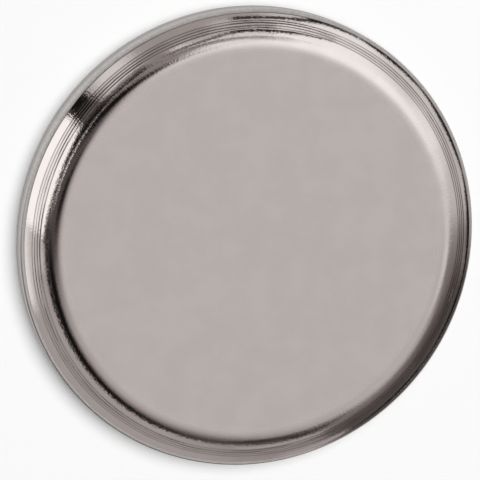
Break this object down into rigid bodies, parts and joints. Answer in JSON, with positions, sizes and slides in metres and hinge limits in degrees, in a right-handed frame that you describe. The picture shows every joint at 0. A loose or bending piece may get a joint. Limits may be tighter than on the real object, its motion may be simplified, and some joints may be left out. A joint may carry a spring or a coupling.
{
  "type": "disc magnet",
  "caption": "Thin round disc magnet with a flat front face, a rounded shoulder with fine ring grooves, a creased edge and a low side wall, bright nickel plated.",
  "frame": {"origin": "centre of the flat back face, which the disc lies on", "axes": "+Z along the disc's axis, from the back face to the front face; X and Y are any two directions across the round disc"},
  "size_m": [0.025, 0.025, 0.002],
  "materials": {
    "nickel_plating": "bright nickel plating, smooth and plain on the flat face, with fine ring marks on the shoulder"
  },
  "bodies": {
    "root": {"magnet_disc": "nickel_plating"}
  },
  "joints": []
}
